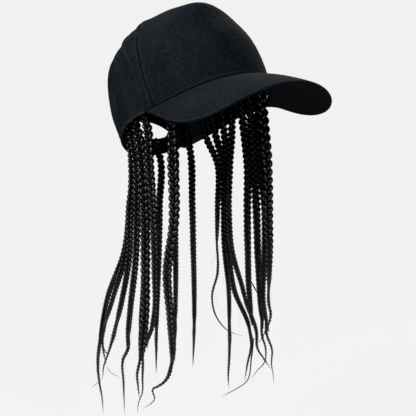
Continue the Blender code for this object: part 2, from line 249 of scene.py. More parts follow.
# Braids. Widths, ends and the free drop are millimetres, and so are the drifts, which run along
# the sweep direction at each drift height.
BRAID_ROOT_RISE = 0.105
BRAID_BEND_RISE_SHARE = 0.4
BRAID_BEND_ROOM = 1.1 * MM
BRAID_BEND_ROOM_SHARE = 0.3
BRAID_FREE_DROP = 30.0
TAIL_TIP_RADIUS = 0.6 * MM
TAIL_FULLNESS = 1.6
ROUTE_POINTS = 400
DRIFT_HEIGHTS = (-50.0, -100.0, -150.0, -200.0, -250.0)
BRAIDS = table(
    "angle top_width end_width fullness plait_end tail_end drifts tail_drift away",
    (64, 10.6, 4.6, 1.3, -245, -292, (6, 6, -1, 2, 2), -22, 0),
    (86, 8.6, 4.0, 1.2, -222, -238, (6, 9, 10, 9, 0), 0, 0),
    (100, 8.8, 6.4, 2.0, -250, -317, (9, 10, 10, 9, 5), -1, 0),
    (113, 7.8, 4.2, 1.3, -240, -325, (8, 7, 5, -1, -6), -9, 0),
    (126, 7.4, 4.0, 1.5, -228, -292, (4, 1, -1, -10, -23), -36, 0),
    (139, 7.4, 3.6, 1.4, -232, -282, (1, -3, -8, -23, -36), -32, 0),
    (152, 7.4, 3.4, 1.3, -262, -345, (-3, -8, -16, -35, -45), -44, 0),
    (168, 7.6, 3.8, 1.3, -250, -305, (0, 0, -2, -6, -10), -12, 0),
    (184, 7.6, 3.8, 1.3, -255, -310, (0, 0, -1, -3, -5), -6, 0),
    (200, 7.6, 3.8, 1.3, -245, -300, (0, 1, 2, 2, 1), 0, 0),
    (216, 7.6, 3.8, 1.3, -250, -305, (2, 4, 5, 6, 6), 4, 0),
    (232, 7.2, 2.6, 2.0, -150, -261, (15, 15, 14, 11, 22), 46, 1),
    (241, 7.8, 3.2, 1.5, -250, -325, (11, 12, 13, 18, 19), 18, 2),
    (250, 7.8, 3.6, 1.4, -255, -301, (5, 5, 7, 14, 33), 29, 0),
    (259, 7.8, 3.8, 1.3, -215, -230, (-2, -3, 1, 15, 21), 21, -2),
    (271, 8.4, 4.2, 1.5, -232, -293, (7, 7, 8, 10, 17), 37, 0),
    (282, 8.6, 4.2, 1.5, -232, -302, (5, 8, 10, 13, 16), 1, 0),
    (293, 8.0, 3.6, 1.6, -230, -299, (5, 10, 10, 9, 18), 21, 0),
    (306, 11.4, 3.0, 2.2, -185, -261, (8, 10, 12, 10, -3), -6, 0),
)

# A plait's form, as shares of the braid's width. In a cycle each strand swings once by the reach
# to either side and twice by the depth to and fro, round a core that fills the middle.
PLAIT_REACH = 0.335
PLAIT_POINTING = 0.11
PLAIT_DEPTH = 0.20
STRAND_RADIUS = 0.225
STRAND_SWELL = 0.16
CORE_RADIUS = 0.15
PLAIT_CYCLE = 2.35
PLAIT_LEAST_CYCLE = 13.0 * MM
PLAIT_CYCLE_OFFSET = 0.21
PLAIT_FULLNESS = 0.22

# The plait's end: it runs on below the braid's mark, narrows, and its strands taper
PLAIT_RUN_ON = 6.0
PLAIT_CLOSING = 20.0 * MM
PLAIT_CLOSING_BEND = 0.8
PLAIT_CLOSED = 0.3
STRAND_TAPER = 3.0
STRAND_TIP = 0.4
STEPS_A_CYCLE = 22
PLAIT_TWIST = radians(24.0)
PLAIT_TWIST_LENGTH = 95.0 * MM
PLAIT_TWIST_OFFSET = 1.7

# How far apart neighbouring tubes read the pattern of fibres
FIBRE_APART = 3.1
FIBRE_STAGGER = 0.37

# Loose ends below the plaits. The spots are places in the photographed view, in pixels of the
# picture; the widths are millimetres at even steps along the lock. A lock with an overlap grows
# out of its plait that many millimetres above the plait's end.
LOCKS = table(
    "braid overlap widths spots",
    (7, 10, (4.6, 2.6, 1.9, 1.3, 0.7),
     ((98.4, 354), (97.8, 365), (99.3, 382), (102.1, 398), (103.3, 414))),
    (7, None, (1.1, 0.9), ((101.5, 341), (104.5, 350), (107, 354))),
    (7, None, (0.5, 0.3), ((98.1, 382), (95, 385), (92, 387))),
    (5, 8, (4.6, 3.0, 1.7, 1.3, 0.6),
     ((111, 344.5), (107.9, 354), (103, 371), (103, 376), (100.6, 381))),
    (5, None, (0.5, 0.3), ((107.3, 367), (110.4, 372), (118.9, 377))),
    (4, 8, (4.6, 2.7, 1.8, 1.6, 1.0, 0.6),
     ((128, 348), (122.9, 360), (123.5, 382), (123.9, 395), (124.7, 415))),
    (3, 6, (2.6, 1.8, 1.1), ((139.1, 364), (137.1, 374), (138, 386), (139.4, 398))),
    (3, 6, (2.8, 1.7, 1.0, 0.6),
     ((142.8, 363), (142.5, 378), (142.2, 393), (138.8, 402), (137, 414))),
    (2, 8, (3.8, 2.2, 1.0), ((147.6, 338), (147.6, 343), (146.5, 349))),
    (1, 10, (3.4, 2.8, 1.8, 1.0, 0.6),
     ((171, 366), (166, 380), (158.7, 386), (153, 389), (154.4, 399), (143, 409))),
    (1, 6, (1.3, 0.9), ((172.6, 352), (173.4, 357), (171.8, 362))),
    (12, 8, (2.6, 2.2, 1.7, 1.2, 0.6),
     ((217.5, 273), (212, 297), (216, 316), (228.7, 331), (244, 336))),
    (13, 10, (4.2, 2.6, 1.9, 1.3), ((229.6, 345), (229, 362), (228.2, 376), (228.7, 388))),
    (14, 10, (4.0, 2.4, 1.6, 1.0), ((251.4, 345), (247.6, 363), (244.7, 381))),
    (14, None, (1.5, 1.1, 0.8, 0.5),
     ((253.7, 338), (251.4, 358), (246.1, 382), (235, 389.5), (221.5, 396.6))),
    (15, 10, (3.8, 2.4, 1.0), ((248, 310), (250, 318))),
    (15, None, (1.2, 0.9), ((251.4, 282), (255, 288.6), (258.6, 295))),
    (16, 10, (4.2, 2.6, 1.6, 1.0), ((256.3, 331), (257.7, 349), (264, 359), (271, 369))),
    (17, 10, (3.6, 2.0, 1.3, 0.8, 0.5),
     ((262.1, 336), (265.7, 349), (264, 363), (256.8, 371), (249.6, 381))),
    (18, 10, (3.4, 2.0, 1.5, 0.9, 0.5),
     ((266.6, 334), (272, 350), (271.5, 364), (273.3, 376), (273.8, 384))),
    (19, 8, (3.4, 2.4, 1.9, 1.1, 0.6), ((268.4, 301), (270.6, 316), (266, 330), (256.3, 346))),
)
UNSEEN_LOCK = (4.0, 2.6, 1.6, 0.9)
UNSEEN_OVERLAP = 8
UNSEEN_POINTS = 90

# A lock widens from its root's fullness to its own over the root's share of its length, and its
# beads grow in over the same stretch.
LOCK_FULLNESS = 1.5
LOCK_ROOT_FULLNESS = 0.95
LOCK_ROOT_SHARE = 0.25
LOCK_BEADING = 0.34
LOCK_BEAD = 3.7 * MM
LOCK_SINGLE_WIDTH = 1.6
LOCK_CROWDING = 0.42
LOCK_TWIST = 2.2
LOCK_LEAST_TWIST = 1.5 * MM
LOCK_STAGGER = 0.1
LOCK_TIP = 0.12
LOCK_LEAST_TIP = 0.15
LOCK_STEP = 0.5 * MM
LOCK_LEAST_POINTS = 14
HAIR_LEAST_RADIUS = 0.2 * MM

# Single loose hairs. The top, reach, fall and curl are millimetres.
FLYAWAYS = 4
FLYAWAY_RADIUS = 0.11 * MM
FLYAWAY_TAPER = 0.7
FLYAWAY_TOP = -40.0
FLYAWAY_REACH = (1.5, 5.0)
FLYAWAY_FALL = (8.0, 30.0)
FLYAWAY_FALL_POWER = 1.2
FLYAWAY_CURL = (-2.5, 2.5)
FLYAWAY_ROOT = 0.4
FLYAWAY_POINTS = 13

# Colours: red, green and blue of the darkest and the lightest yarn or fibre
TWILL_TONES = (0.0016, 0.0026, 0.0040), (0.0125, 0.0168, 0.0218)
BINDING_TONES = (0.012, 0.014, 0.018), (0.040, 0.045, 0.053)
TAPE_TONES = (0.014, 0.015, 0.018), (0.038, 0.041, 0.048)
THREAD_TONES = (0.003, 0.004, 0.0055), (0.013, 0.016, 0.020)
HAIR_TONES = (0.0006,) * 3, (0.0030, 0.0028, 0.0027)
PAPER_TONES = (0.02,) * 3, (0.03,) * 3
PAPER_GLOW_TONES = (0.985, 1.0, 0.985), (1.0, 1.0, 0.99)
PAPER_GLOW = 0.875
# Painted shade: the near black blended into the twill where the seams, the hem and the brim's root
# lie in shade
PAINTED_CREASE_SHADE = (0.0006, 0.0007, 0.0009)
LINT = (0.12, 0.13, 0.15)

# Sizes of the marks in the cloth
RIB = 0.72 * MM
RIB_WOBBLE = 3.0 * MM
YARN = 1.1 * MM
MOTTLE = 3.2 * MM
CLOUD = 30.0 * MM
# Painted highlights: pale upright streaks on the side panels stand in for the light on their folds'
# crests; their size and how much paler they are
FOLD_HIGHLIGHT_STREAK = 2.6 * MM
FOLD_HIGHLIGHT_PALENESS = 2.2
LINT_SPACING = 17.0 * MM
LINT_SIZE = 0.028
TAPE_RIB = 0.9 * MM
TAPE_YARN = 0.8 * MM
PLY = 0.35 * MM

# Marks along the cloth's edges: over which millimetres the painted shade of the crease ends and the
# pale line comes and goes, how strong each is, and how much paler than the yarn the line is
SEAM_MARKS, BRIM_MARKS = table(
    "shade shade_share line_start line_end line_share paleness",
    ((0.25, 0.95), 0.75, (1.2, 2.0), (2.0, 4.5), 0.3, 1.8),
    ((-2.8, -0.5), 0.9, (0.6, 1.6), (1.8, 2.8), 0.25, 3.0),
)

# Stage: a round sweep of paper, and soft lamps placed in metres from the cap
PAPER_FLOOR = -0.46
PAPER_HOLE = 0.02
PAPER_REACH = 2.4
PAPER_BEND = 0.6
PAPER_BEND_STEPS = 12
PAPER_TOP = 3.2
PAPER_SIDES = 64
SKY_LIGHT = 0.05
SOFTBOXES = table(
    "name sideways away height aim_height width power",
    ("key", -1.1, -0.8, 1.0, 0.0, 0.7, 29.0),
    ("glint", 0.55, -1.2, 0.75, -0.15, 0.25, 8.0),
    ("back", 0.6, 1.3, 1.05, 0.0, 1.0, 13.5),
    ("bounce", 0.2, -0.9, -0.9, 0.0, 0.8, 4.0),
)


# Shader maths

class Wire:
    """A shader socket that takes part in Python sums."""

    def __init__(self, finish, socket):
        self.finish = finish
        self.socket = socket

    def __add__(self, other):
        return self.finish.maths("ADD", self, other)

    def __sub__(self, other):
        return self.finish.maths("SUBTRACT", self, other)

    def __rsub__(self, other):
        return self.finish.maths("SUBTRACT", other, self)

    def __mul__(self, other):
        return self.finish.maths("MULTIPLY", self, other)

    __radd__ = __add__
    __rmul__ = __mul__


class Finish:
    """One material, its Principled shader and the nodes behind it."""

    def __init__(self, name, fixed):
        self.material = bpy.data.materials.new(name)
        self.material.use_nodes = True
        self.tree = self.material.node_tree
        self.shader = self.tree.nodes["Principled BSDF"]
        for socket, value in fixed.items():
            self.shader.inputs[socket].default_value = value

    def node(self, kind, settings, sockets, out=0):
        """A node of any kind: settings first, then the values or links of its sockets."""
        made = self.tree.nodes.new(kind)
        for name, value in settings.items():
            setattr(made, name, value)
        for name, value in sockets.items():
            self.join(value, made.inputs[name])
        return Wire(self, made.outputs[out])

    def join(self, value, socket):
        if isinstance(value, Wire):
            self.tree.links.new(value.socket, socket)
        else:
            socket.default_value = value

    def maths(self, operation, first, second=0.0):
        return self.node("ShaderNodeMath", {"operation": operation}, {0: first, 1: second})

    def blend(self, share, first, second):
        """A colour between two colours, each a wire or its red, green and blue."""
        ends = [end if isinstance(end, Wire) else (*end, 1.0) for end in (first, second)]
        sockets = {0: share, 6: ends[0], 7: ends[1]}
        return self.node("ShaderNodeMix", {"data_type": "RGBA"}, sockets, out=2)

    def scaled(self, vector, factors):
        sockets = {0: vector, 1: factors}
        return self.node("ShaderNodeVectorMath", {"operation": "MULTIPLY"}, sockets)

    def noise(self, vector, size, detail=2.0, roughness=0.5):
        """Noise from 0 to 1 whose lumps are about the given size."""
        sockets = {"Vector": vector, "Scale": 1.0 / size, "Detail": detail, "Roughness": roughness}
        return self.node("ShaderNodeTexNoise", {}, sockets)

    def steps(self, value, low, high):
        """The value spread from 0 at low to 1 at high, held at both ends."""
        sockets = {"Value": value, "From Min": low, "From Max": high}
        return self.node("ShaderNodeMapRange", {}, sockets)

    def ribs(self, value):
        """Even waves from 0 to 1, one for each full turn of the value."""
        return self.maths("SINE", value) * 0.5 + 0.5

    def read(self, name):
        """A vector kept on the mesh's points."""
        settings = {"attribute_name": name, "attribute_type": "GEOMETRY"}
        return self.node("ShaderNodeAttribute", settings, {}, out="Vector")

    def place(self):
        """The place on the object itself."""
        return self.node("ShaderNodeTexCoord", {}, {}, out="Object")

    def part(self, vector, axis):
        return self.node("ShaderNodeSeparateXYZ", {}, {0: vector}, out=axis)

    def bump(self, height, distance):
        sockets = {"Height": height, "Distance": distance, "Strength": 1.0}
        return self.node("ShaderNodeBump", {}, sockets)

    def paint(self, socket, value):
        self.join(value, self.shader.inputs[socket])


def paler(colour, factor):
    return tuple(factor * tone for tone in colour)


def twill_finish(name, colours, marks=SEAM_MARKS, painted_fold_highlights=False):
    """Cotton twill: slanting ribs, a mottled dye, painted crease shade and a pale line along its
    edges, painted fold highlights if asked, and stray lint.
    """
    sheen = {"Sheen Weight": 0.035, "Sheen Roughness": 0.35}
    cloth = Finish(name, {**sheen, "Specular IOR Level": 0.05})
    weave = cloth.read("weave")
    place = cloth.place()
    slant = cloth.part(weave, "X") * 0.8 + cloth.part(weave, "Y")
    ribs = cloth.ribs(slant * (2 * pi / RIB) + cloth.noise(weave, RIB_WOBBLE))
    yarn = cloth.noise(cloth.scaled(weave, (1.0, 0.45, 1.0)), YARN, roughness=0.7)
    mottle = cloth.noise(place, MOTTLE, 4.0, 0.8)
    cloud = cloth.noise(place, CLOUD)
    shade = cloth.steps(mottle * 0.62 + yarn * 0.34 + cloud * 0.24 + ribs * 0.05, 0.50, 0.76)
    colour = cloth.blend(shade, *colours)
    # Painted highlights: pale upright streaks for the light on the crests of the side panels' folds
    if painted_fold_highlights:
        fold_highlight = cloth.noise(cloth.scaled(weave, (1.0, 0.05, 0.0)), FOLD_HIGHLIGHT_STREAK, 1.0)
        fold_highlight = cloth.steps(fold_highlight, 0.56, 0.72) * 0.4
        colour = cloth.blend(fold_highlight, colour, paler(colours[1], FOLD_HIGHLIGHT_PALENESS))
    # Painted shade: the creases along the seams, the hem and the brim's root are darkened to near
    # black, by the way to the edge kept in the note's third part
    edge = cloth.part(weave, "Z")
    shaded, begun, ended = (cloth.steps(edge, low * MM, high * MM)
                            for low, high in (marks.shade, marks.line_start, marks.line_end))
    line = begun * (1.0 - ended) * marks.line_share
    colour = cloth.blend(line, colour, paler(colours[1], marks.paleness))
    colour = cloth.blend((1.0 - shaded) * marks.shade_share, colour, PAINTED_CREASE_SHADE)
    spacing = {"Vector": place, "Scale": 1 / LINT_SPACING}
    lint = cloth.node("ShaderNodeTexVoronoi", {"feature": "F1"}, spacing)
    fleck = 1.0 - cloth.steps(lint, 0.0, LINT_SIZE)
    cloth.paint("Base Color", cloth.blend(fleck * 0.4, colour, LINT))
    cloth.paint("Roughness", 0.98 - shade * 0.14)
    cloth.paint("Normal", cloth.bump(ribs * 0.5 + yarn * 0.9 + mottle * 1.2, 0.3 * MM))
    return cloth.material


def tape_finish():
    """Sweatband cloth: a plain fine rib across the band."""
    tape = Finish("sweatband_tape", {"Specular IOR Level": 0.15, "Sheen Weight": 0.1})
    weave = tape.read("weave")
    ribs = tape.ribs(tape.part(weave, "Y") * (2 * pi / TAPE_RIB))
    yarn = tape.noise(weave, TAPE_YARN, 3.0)
    shade = tape.steps(yarn * 0.7 + ribs * 0.3, 0.3, 0.8)
    tape.paint("Base Color", tape.blend(shade, *TAPE_TONES))
    tape.paint("Roughness", 0.95 - shade * 0.12)
    tape.paint("Normal", tape.bump(ribs + yarn * 0.5, 0.12 * MM))
    return tape.material


def thread_finish():
    """Black sewing thread with its ply."""
    thread = Finish("black_thread", {"Specular IOR Level": 0.25})
    ply = thread.noise(thread.place(), PLY)
    thread.paint("Base Color", thread.blend(ply, *THREAD_TONES))
    thread.paint("Roughness", 0.75 - ply * 0.2)
    thread.paint("Normal", thread.bump(ply, 0.1 * MM))
    return thread.material


def hair_finish():
    """Black synthetic hair: fibres along each strand, glossy in streaks."""
    hair = Finish("black_hair", {"Specular IOR Level": 0.45})
    fibre = hair.read("fibre")
    fine = hair.noise(hair.scaled(fibre, (9.0, 9.0, 150.0)), 1.0, 3.0, 0.6)
    broad = hair.noise(hair.scaled(fibre, (2.6, 2.6, 210.0)), 1.0)
    lock = hair.noise(hair.scaled(fibre, (0.6, 0.6, 60.0)), 1.0, 1.0)
    hair.paint("Base Color", hair.blend(hair.steps(fine, 0.3, 0.75), *HAIR_TONES))
    hair.paint("Roughness", hair.steps(lock * 0.55 + broad * 0.45, 0.3, 0.72) * 0.2 + 0.2)
    hair.paint("Normal", hair.bump(fine * 0.6 + broad * 0.8, 0.06 * MM))
    return hair.material


def stage_finish():
    """Pale seamless paper."""
    fixed = {"Roughness": 0.9, "Specular IOR Level": 0.1, "Emission Strength": PAPER_GLOW}
    paper = Finish("pale_paper", fixed)
    tone = paper.noise(paper.place(), 0.9, 1.0)
    paper.paint("Base Color", paper.blend(tone, *PAPER_TONES))
    paper.paint("Emission Color", paper.blend(tone, *PAPER_GLOW_TONES))
    return paper.material


# Curves of the crown

def through(rows, place):
    """Read evenly spaced rows of numbers as one smooth curve, place 0 to 1."""
    steps = len(rows) - 1
    along = min(max(place, 0.0), 1.0) * steps
    index = min(int(along), steps - 1)
    part = along - index
    before = [2 * a - b for a, b in zip(rows[0], rows[1])] if index == 0 else rows[index - 1]
    if index + 2 > steps:
        after = [rows[-2][0]] + [-value for value in rows[-2][1:]]
    else:
        after = rows[index + 2]
    read = []
    for p0, p1, p2, p3 in zip(before, rows[index], rows[index + 1], after):
        value = 2 * p1 + (p2 - p0) * part + (2 * p0 - 5 * p1 + 4 * p2 - p3) * part**2
        read.append((value + (3 * p1 - p0 - 3 * p2 + p3) * part**3) / 2)
    return read


def between(places, values, place):
    """Read straight between the values given at the places."""
    return float(np.interp(place, places, values))


def turned(angle):
    """The same angle between -pi and pi."""
    return (angle + pi) % (2 * pi) - pi


def rim_height(angle):
    part = min(abs(turned(angle)) / BRIM_END, 1.0)
    return RIM_FRONT_ARCH * (1 - part**2) ** 2 + RIM_SADDLE * cos(2 * angle)


def relief(rows, angle, rise):
    """The sum of soft rises and dents, each strongest at its own angle and rise."""
    total = 0.0
    for row in rows:
        upward = (rise - row.rise) / row.rise_spread
        across = turned(angle - radians(row.angle + row.lean * upward)) / radians(row.spread)
        total += row.depth * MM * exp(-across**2 - upward**2)
    return total


def crown_skin(angle, rise):
    height, front, back, half_width = (value * MM for value in through(CROWN, rise))
    length = front if cos(angle) > 0 else back
    return Vector((
        -half_width * sin(angle),
        -length * cos(angle) + TOP_SHIFT * rise**2,
        height + rim_height(angle) * (1 - rise) ** 2,
    ))


def crown_normal(angle, rise):
    low, high = max(rise - NORMAL_STEP, 0.0), min(rise + NORMAL_STEP, NORMAL_TOP_RISE)
    upward = crown_skin(angle, high) - crown_skin(angle, low)
    level = min(rise, NORMAL_SIDE_RISE)
    sideways = crown_skin(angle - NORMAL_STEP, level) - crown_skin(angle + NORMAL_STEP, level)
    return sideways.cross(upward).normalized()


def crown_point(angle, rise, depth):
    """A point of the crown, depth below its outer face, in the cap's own frame."""
    depth -= relief(SWELLS, angle, rise)
    return crown_skin(angle, rise) - crown_normal(angle, rise) * depth


def inside_point(angle, rise, depth):
    """A point inside the worn crown, depth below its outer face with the swells left out."""
    return WORN @ (crown_skin(angle, rise) - crown_normal(angle, rise) * depth)


def seam_angle(seam, rise):
    return radians(between(SEAM_RISES, seam, rise))


# Lines of points

def evenly(start, end, steps):
    return [start + (end - start) * step / steps for step in range(steps + 1)]


def crowded(place, strength):
    """Steps from 0 to 1 that lie closer together at both ends."""
    return place - strength * sin(2 * pi * place) / (2 * pi)


def summed(steps):
    """The running sum of steps, from 0."""
    return np.concatenate([[0.0], np.cumsum(steps)])


def length_along(line):
    """How far along a line each of its points lies."""
    return summed(np.linalg.norm(np.diff(line, axis=0), axis=1))


def read_along(line, length, along):
    """The places at given distances along a line."""
    return np.stack([np.interp(along, length, line[:, k]) for k in range(3)], -1)


def square_to(line, facing):
    """Two directions square to a line at each point, the first as near the facing as can be."""
    tangent = np.gradient(line, axis=0)
    tangent /= np.linalg.norm(tangent, axis=1)[:, None]
    facing = np.asarray(facing, float)
    across = facing - tangent * np.sum(tangent * facing, axis=1)[:, None]
    across /= np.linalg.norm(across, axis=1)[:, None]
    return across, np.cross(tangent, across)


# Makers of meshes

def placed(name, data):
    """An object in the scene, made of a mesh, a lamp or a camera."""
    thing = bpy.data.objects.new(name, data)
    bpy.context.scene.collection.objects.link(thing)
    return thing


def finished(mesh, material):
    """An object in the frame that rides with the cap."""
    mesh.materials.append(material)
    mesh.shade_smooth()
    thing = placed(mesh.name, mesh)
    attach(thing, "root")
    return thing


def mesh_of(name, points, faces, notes, note_name="weave"):
    """A mesh whose closed surface faces out, with a vector kept at each point."""
    points = np.asarray(points, float)
    faces = np.asarray(faces, int)
    a, b, c, d = (points[faces[:, k]] for k in range(4))
    volume = np.sum(a * (np.cross(b, c) + np.cross(c, d)))
    if volume < 0:
        faces = faces[:, ::-1]
    mesh = bpy.data.meshes.new(name)
    mesh.from_pydata(points.tolist(), [], faces.tolist())
    kept = mesh.attributes.new(note_name, "FLOAT_VECTOR", "POINT")
    kept.data.foreach_set("vector", np.asarray(notes, np.float32).ravel())
    return mesh


def build_sheet(node, columns, rows, place, material, crowding=(0.0, 0.0)):
    """A closed sheet. At a share of the way across and up, place gives both faces and the note."""
    across = [crowded(share, crowding[0]) for share in evenly(0.0, 1.0, columns)]
    upward = [crowded(share, crowding[1]) for share in evenly(0.0, 1.0, rows)]
    made = [place(share, up) for up in upward for share in across]
    outer, inner, notes = ([spot[k] for spot in made] for k in range(3))
    count = len(made)
    grid = np.arange(count).reshape(rows + 1, columns + 1)
    quads = np.stack([grid[:-1, :-1], grid[:-1, 1:], grid[1:, 1:], grid[1:, :-1]], -1)
    quads = quads.reshape(-1, 4)
    loop = np.concatenate([grid[0, :-1], grid[:-1, -1], grid[-1, :0:-1], grid[:0:-1, 0]])
    after = np.roll(loop, -1)
    border = np.stack([after, loop, loop + count, after + count], -1)
    faces = np.concatenate([quads, quads[:, ::-1] + count, border])
    mesh = mesh_of(node + "_cloth", outer + inner, faces, notes + notes)
    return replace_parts(finished(mesh, material), node)


def ring_faces(grid):
    """Quads between rings of points, each row of the grid being one ring."""
    after = np.roll(grid, -1, axis=1)
    return np.stack([grid[:-1], after[:-1], after[1:], grid[1:]], -1).reshape(-1, 4)


def closed_faces(rings, sides):
    """Quads between rings of points and over the first and the last ring."""
    grid = np.arange(rings * sides).reshape(rings, sides)
    caps = [[(end[0], end[k], end[k + 1], end[k + 2])[::flip] for k in range(1, sides - 2, 2)]
            for end, flip in ((grid[0], -1), (grid[-1], 1))]
    return np.concatenate([ring_faces(grid), *caps])


def tubes_mesh(name, tubes, sides, note_name="fibre"):
    """One mesh of many closed tubes, each a line of points, the radius at each and a facing."""
    points, faces, notes = [], [], []
    count = 0
    turn = 2 * pi * np.arange(sides) / sides
    ring = np.stack([np.cos(turn), np.sin(turn)], -1)
    for number, (line, radii, facing) in enumerate(tubes):
        line = np.asarray(line, float)
        across, over = square_to(line, facing)
        circle = ring[:, :1] * across[:, None] + ring[:, 1:] * over[:, None]
        rings = line[:, None] + circle * np.asarray(radii, float)[:, None, None]
        points.append(rings.reshape(-1, 3))
        note = np.empty((len(line), sides, 3))
        note[:, :, :2] = ring + (FIBRE_APART * number, 0.0)
        note[:, :, 2] = length_along(line)[:, None] + FIBRE_STAGGER * number
        notes.append(note.reshape(-1, 3))
        faces.append(count + closed_faces(len(line), sides))
        count += len(line) * sides
    points, faces, notes = (np.concatenate(part) for part in (points, faces, notes))
    return mesh_of(name, points, faces, notes, note_name)


# Crown

def cloth_wave(angle, rise):
    """Slight unevenness and soft folds of worn cloth, outward."""
    uneven = CLOTH_WAVE * noise.noise(crown_skin(angle, rise) / CLOTH_WAVE_SIZE)
    return uneven + relief(FOLDS, angle, rise)


def build_panel(row, material):
    def place(share, up):
        rise = TOP_HOLE_RISE * up
        reach = crown_skin(pi / 2, rise).xy.length
        first = row.start_way * seam_angle(row.start, rise) - 0.5 * SEAM_GAP / reach
        last = row.end_way * seam_angle(row.end, rise) + 0.5 * SEAM_GAP / reach
        angle = first + (last - first) * share
        edge = min(share, 1 - share) * (reach * (first - last))
        height = crown_skin(angle, rise).z - crown_skin(angle, 0.0).z
        dip = SEAM_DIP * exp(-(edge / SEAM_ROLL) ** 2) + HEM_DIP * exp(-(height / HEM_ROLL) ** 2)
        wave = cloth_wave(angle, rise)
        depth = WALL + min(dip, INSIDE_DIP) - min(wave, 0.0)
        # The note's third part is the way to the nearest seam or the hem, which sets where the
        # twill gets its painted crease shade and its pale line
        note = (angle * reach, rise * SKIN_LENGTH, min(edge, height))
        outer, inner = (WORN @ crown_point(angle, rise, d) for d in (dip - wave, depth))
        return outer, inner, note

    return build_sheet(row.node, row.columns, PANEL_ROWS, place, material,
                       crowding=PANEL_CROWDING)


def cut_arch(things):
    """Cut the closing arch out of the back panels."""
    base = crown_skin(pi, 0.0)
    steps = ARCH_CUT_STEPS
    turns = evenly(0.0, 2 * pi, steps)[:-1]
    points = [(ARCH_HALF_WIDTH * cos(turn), base.y + reach, base.z + ARCH_HEIGHT * sin(turn))
              for reach in (-ARCH_CUT_REACH, ARCH_CUT_REACH) for turn in turns]
    points = [WORN @ Vector(point) for point in points]
    faces = [list(range(steps)), list(range(2 * steps - 1, steps - 1, -1))]
    faces += [[k, k + steps, (k + 1) % steps + steps, (k + 1) % steps] for k in range(steps)]
    mesh = bpy.data.meshes.new("arch_cutter")
    mesh.from_pydata(points, [], faces)
    cutter = placed("arch_cutter", mesh)
    for thing in things:
        cut = thing.modifiers.new("arch", "BOOLEAN")
        cut.operation = "DIFFERENCE"
        cut.object = cutter
        bpy.context.view_layer.update()
        worn = thing.evaluated_get(bpy.context.evaluated_depsgraph_get())
        made = bpy.data.meshes.new_from_object(worn)
        thing.modifiers.clear()
        thing.data = made
    bpy.data.objects.remove(cutter)


def build_band(node, angles, rises, columns, rows, material):
    """A strip that lies inside the crown's wall, between two angles and two rises."""

    def place(across, up):
        angle = angles[0] + (angles[1] - angles[0]) * across
        rise = rises[0] + (rises[1] - rises[0]) * up
        outer = inside_point(angle, rise, WALL + BAND_GAP)
        inner = inside_point(angle, rise, WALL + BAND_GAP + BAND_WALL)
        return outer, inner, (angle * RIM_HALF_LENGTH, rise * CROWN_HEIGHT, RIM_HALF_LENGTH)

    return build_sheet(node, columns, rows, place, material)


# Brim

def bent_brim(across, forward):
    turn = across / BRIM_BEND_RADIUS
    reach = forward - RIM_HALF_LENGTH
    return Vector((
        -BRIM_BEND_RADIUS * sin(turn),
        -(RIM_HALF_LENGTH + reach * cos(BRIM_PITCH)),
        RIM_FRONT_ARCH - BRIM_BEND_RADIUS * (1 - cos(turn)) + reach * sin(BRIM_PITCH),
    ))


def brim_middle(u, v):
    """The middle of the brim's thickness from the crown (v 0) to its edge (v 1)."""
    angle = BRIM_END * (1 - 2 * u)
    root = crown_skin(angle, 0.0)
    across = BRIM_BEND_RADIUS * asin(max(-1.0, min(1.0, -root.x / BRIM_BEND_RADIUS)))
    forward = RIM_HALF_LENGTH + (-root.y - RIM_HALF_LENGTH) / cos(BRIM_PITCH)
    sweep = BRIM_SWEEP * (1 - 2 * u)
    edge_across = BRIM_HALF_WIDTH * sin(sweep)
    edge_length = RIM_HALF_LENGTH + BRIM_LENGTH - BRIM_EDGE_CENTRE
    edge_forward = BRIM_EDGE_CENTRE + edge_length * cos(sweep)
    lift = root.z - bent_brim(across, forward).z
    point = bent_brim(across + (edge_across - across) * v, forward + (edge_forward - forward) * v)
    ended = abs(1 - 2 * u) ** BRIM_LIFT_SHARPNESS
    power = BRIM_LIFT_POWER - (BRIM_LIFT_POWER - BRIM_END_LIFT_POWER) * ended
    point.z += lift * (1 - v) ** power
    return point


def brim_normal(u, v):
    step = 0.01
    low, high = max(u - step, 0.0), min(u + step, 1.0)
    sideways = brim_middle(high, v) - brim_middle(low, v)
    near, far = max(v - step, 0.0), min(v + step, 1.0)
    outward = brim_middle(u, far) - brim_middle(u, near)
    return outward.cross(sideways).normalized()


def brim_face(u, v, side, edge, proud=0.0):
    """A point of the brim's upper (side 1) or lower (-1) face, edge being its way to the edge."""
    thinning = BRIM_END_THINNING * abs(1 - 2 * u) ** BRIM_END_SHARPNESS
    thickness = BRIM_THICKNESS * (1 - thinning)
    rounding = sqrt(max(1 - (1 - min(edge / BRIM_ROUND, 1.0)) ** 2, BRIM_LEAST_ROUND))
    line = BRIM_LINE_DEPTH * exp(-((edge - BRIM_LINE_INSIDE) / BRIM_LINE_WIDTH) ** 2)
    upright = brim_normal(u, max(v, BRIM_TUCK))
    drop = upright.z * thickness / 2
    free = brim_middle(u, v) + upright * side * (thickness / 2 * rounding - line + proud)
    free.z -= (drop + GAP) * (1 - v) ** BRIM_ROOT_DROP_POWER
    if v < BRIM_UNDER_RIM:
        round_rim = atan2(-free.x / RIM_HALF_WIDTH, -free.y / RIM_HALF_LENGTH)
        free.z = min(free.z, rim_height(round_rim) - 2 * GAP - drop * (1 - side))
    tucked = crown_point(BRIM_END * (1 - 2 * u), 0.0, WALL) + upright * side * thickness / 2
    tucked.z -= GAP + drop
    return WORN @ (free + (tucked - free) * max(0.0, 1 - v / BRIM_TUCK))


def build_brim(material):
    def place(u, v):
        middle = brim_middle(u, v)
        edge = (brim_middle(u, 1.0) - middle).length
        # Near the crown the note's third part turns negative, which paints the shadow in the crease
        # under the crown's hem
        rooted = (middle - brim_middle(u, 0.0)).length - BRIM_ROOT_SHADE
        note = (middle.x, middle.y / cos(BRIM_PITCH), edge if rooted > 0 else rooted)
        return brim_face(u, v, 1, edge), brim_face(u, v, -1, edge), note

    return build_sheet("brim", 140, 48, place, material, crowding=BRIM_CROWDING)


# Braids

